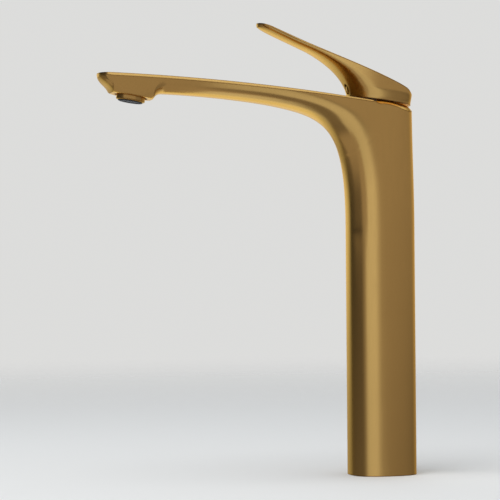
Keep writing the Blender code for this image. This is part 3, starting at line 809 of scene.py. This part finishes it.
# Brightness and tint round the horizon in seven bands, by azimuth in degrees from +X towards +Y
STUDIO = {
    "low": [(-180, 0.45, COOL), (-150, 0.20, WARM), (0, 0.20, WARM), (45, 0.38, WARM), (110, 0.50, WARM),
            (160, 0.80, COOL), (180, 0.62, COOL)],
    "floor": [(-180, 0.75, COOL), (-163, 0.50, COOL), (-150, 0.18, WARM), (-70, 0.18, WARM),
              (-46, 0.60, PALE), (0, 0.66, PALE), (18, 0.26, WARM), (100, 0.24, WARM), (125, 0.45, WARM),
              (163, 1.02, COOL), (180, 1.00, COOL)],
    "counter": [(-180, 0.50, COOL), (-163, 0.40, COOL), (-150, 0.12, WARM), (-72, 0.15, WARM),
                (-46, 0.56, PALE), (-14, 0.60, PALE), (2, 0.21, WARM), (100, 0.15, WARM), (125, 0.35, WARM),
                (163, 0.60, COOL), (180, 0.55, COOL)],
    "level": [(-180, 1.10, COOL), (-164, 0.90, COOL), (-150, 0.05, COOL), (-82, 0.07, WARM),
              (-62, 0.36, WARM), (-48, 0.80, PALE), (-14, 0.80, PALE), (5, 0.40, WARM), (100, 0.35, WARM),
              (125, 0.55, WARM), (163, 1.10, COOL), (180, 1.10, COOL)],
    "upper": [(-180, 0.40, PALE), (-150, 0.07, WARM), (-60, 0.08, WARM), (0, 0.26, WARM), (130, 0.26, WARM),
              (180, 0.40, PALE)],
    "top": [(-180, 0.70, PALE), (-150, 0.12, WARM), (-70, 0.12, WARM), (-45, 0.90, PALE), (120, 0.90, PALE),
            (150, 0.85, PALE), (180, 0.70, PALE)],
    "zenith": [(-180, 0.75, PALE), (180, 0.75, PALE)],
}
# Where each band takes over from the one below, by the height of a direction on the unit sphere
HEIGHTS = [("floor", -0.87, -0.74), ("counter", -0.19, -0.10), ("level", -0.08, 0.02),
           ("upper", 0.22, 0.34), ("top", 0.42, 0.60), ("zenith", 0.90, 0.998)]
BACKDROP = (0.72, 0.72, 0.71)        # what the camera sees behind the object


def place_disc():
    """A pale round floor that fades out into the background."""
    built = bmesh.new()
    bmesh.ops.create_circle(built, cap_ends=True, segments=96, radius=2.4)
    floor = settle(built, "floor")
    made, made_nodes, links, shader = new_material("floor")
    shader.inputs["Base Color"].default_value = (0.80, 0.80, 0.79, 1.0)
    shader.inputs["Roughness"].default_value = 0.8
    shader.inputs["Specular IOR Level"].default_value = 0.2
    place = made_nodes.new("ShaderNodeTexCoord")
    away = made_nodes.new("ShaderNodeVectorMath")
    away.operation = "LENGTH"
    links.new(place.outputs["Object"], away.inputs[0])
    fade = spread(made_nodes, links, away.outputs["Value"], 1.0, 0.0, 0.35, 2.2, smooth=True)
    links.new(fade, shader.inputs["Alpha"])
    dress(floor, made)
    floor.visible_glossy = False


def card(name, corners, level, tint):
    """A flat glowing card that only reflections show."""
    mesh = bpy.data.meshes.new(name)
    mesh.from_pydata([Vector(c) * MM for c in corners], [], [tuple(range(len(corners)))])
    made_card = show(mesh, name)
    made, made_nodes, links, shader = new_material(name)
    shader.inputs["Base Color"].default_value = (0.0, 0.0, 0.0, 1.0)
    shader.inputs["Specular IOR Level"].default_value = 0.0
    shader.inputs["Emission Color"].default_value = (*tint, 1.0)
    shader.inputs["Emission Strength"].default_value = level
    dress(made_card, made)
    made_card.visible_camera = False
    made_card.visible_shadow = False
    made_card.visible_diffuse = False


def make_cards():
    """Two mid grey cards, below and beside the spout's outer half."""
    near, far, reach, low, high = -112.0, -330.0, 115.0, 165.0, 330.0
    grey = 0.36
    card("card_under", [(-reach, near, low), (reach, near, low), (reach, far, low), (-reach, far, low)],
         grey, WARM)
    card("card_right", [(reach, near, low), (reach, far, low), (reach, far, high), (reach, near, high)],
         grey, WARM)


def make_world():
    """Soft studio surroundings, painted in bands by azimuth and height."""
    world = bpy.data.worlds.new("studio")
    bpy.context.scene.world = world
    world.use_nodes = True
    made_nodes, links = world.node_tree.nodes, world.node_tree.links
    place = made_nodes.new("ShaderNodeTexCoord")
    parts = made_nodes.new("ShaderNodeSeparateXYZ")
    links.new(place.outputs["Generated"], parts.inputs["Vector"])
    turn = made_nodes.new("ShaderNodeMath")
    turn.operation = "ARCTAN2"
    links.new(parts.outputs["Y"], turn.inputs[0])
    links.new(parts.outputs["X"], turn.inputs[1])
    share = spread(made_nodes, links, turn.outputs["Value"], 0.0, 1.0, -math.pi, math.pi)

    def round_ramp(stops):
        ramp = made_nodes.new("ShaderNodeValToRGB")
        ramp.color_ramp.interpolation = "EASE"
        line = ramp.color_ramp.elements
        while len(line) < len(stops):
            line.new(0.5)
        for element, (angle, level, tint) in zip(line, stops):
            element.position = (angle + 180.0) / 360.0
        for element, (angle, level, tint) in zip(line, stops):      # only now are the elements in their order
            element.color = (*[level * t for t in tint], 1.0)
        links.new(share, ramp.inputs["Fac"])
        return ramp.outputs["Color"]

    colour = round_ramp(STUDIO["low"])
    for name, start, end in HEIGHTS:
        height = spread(made_nodes, links, parts.outputs["Z"], 0.0, 1.0, start, end, smooth=True)
        colour = tinted(made_nodes, links, height, colour, round_ramp(STUDIO[name]))
    path = made_nodes.new("ShaderNodeLightPath")
    seen = tinted(made_nodes, links, path.outputs["Is Camera Ray"], colour, BACKDROP)
    links.new(seen, made_nodes["Background"].inputs["Color"])


def make_light(name, place, aim, size, power):
    """A soft lamp for the floor, which metal doesn't mirror."""
    light = bpy.data.lights.new(name, "AREA")
    light.shape = "DISK"
    light.size = size
    light.energy = power
    lamp = bpy.data.objects.new(name, light)
    bpy.context.scene.collection.objects.link(lamp)
    lamp.location = place
    lamp.rotation_mode = "QUATERNION"
    lamp.rotation_quaternion = (Vector(aim) - Vector(place)).to_track_quat("-Z", "Y")
    lamp.visible_glossy = False


# Camera ------------------------------------------------------------------------------------------

CAMERA_TURN = math.radians(17.0)     # from +X towards -Y
CAMERA_AWAY = 1.561                  # metres from the column's centre line
CAMERA_HEIGHT = 0.138
LENS = 165.6
SENSOR = 36.0
ROLL = math.radians(0.49)
SHIFT_ACROSS = -0.2604               # the column stands to the right of the picture's centre
SHIFT_UP = 0.0408


def make_camera():
    data = bpy.data.cameras.new("camera")
    camera = bpy.data.objects.new("camera", data)
    bpy.context.scene.collection.objects.link(camera)
    data.lens = LENS
    data.sensor_width = SENSOR
    back = Vector((math.cos(CAMERA_TURN), -math.sin(CAMERA_TURN), 0.0))
    right = Vector((math.sin(CAMERA_TURN), math.cos(CAMERA_TURN), 0.0))
    camera.location = back * CAMERA_AWAY + Vector((0.0, 0.0, CAMERA_HEIGHT))
    turn = Matrix((right, Vector((0.0, 0.0, 1.0)), back)).transposed()
    roll = Matrix.Rotation(-ROLL, 3, "Z")
    camera.rotation_mode = "QUATERNION"
    camera.rotation_quaternion = (turn @ roll).to_quaternion()
    data.shift_x = SHIFT_ACROSS
    data.shift_y = SHIFT_UP
    data.clip_end = 50.0
    bpy.context.scene.camera = camera


place_disc()
make_cards()
make_world()
make_light("key", place=(0.3, -0.6, 1.5), aim=(0.0, -0.05, 0.1), size=1.2, power=14.0)
make_camera()
bpy.context.scene.view_settings.view_transform = "Standard"
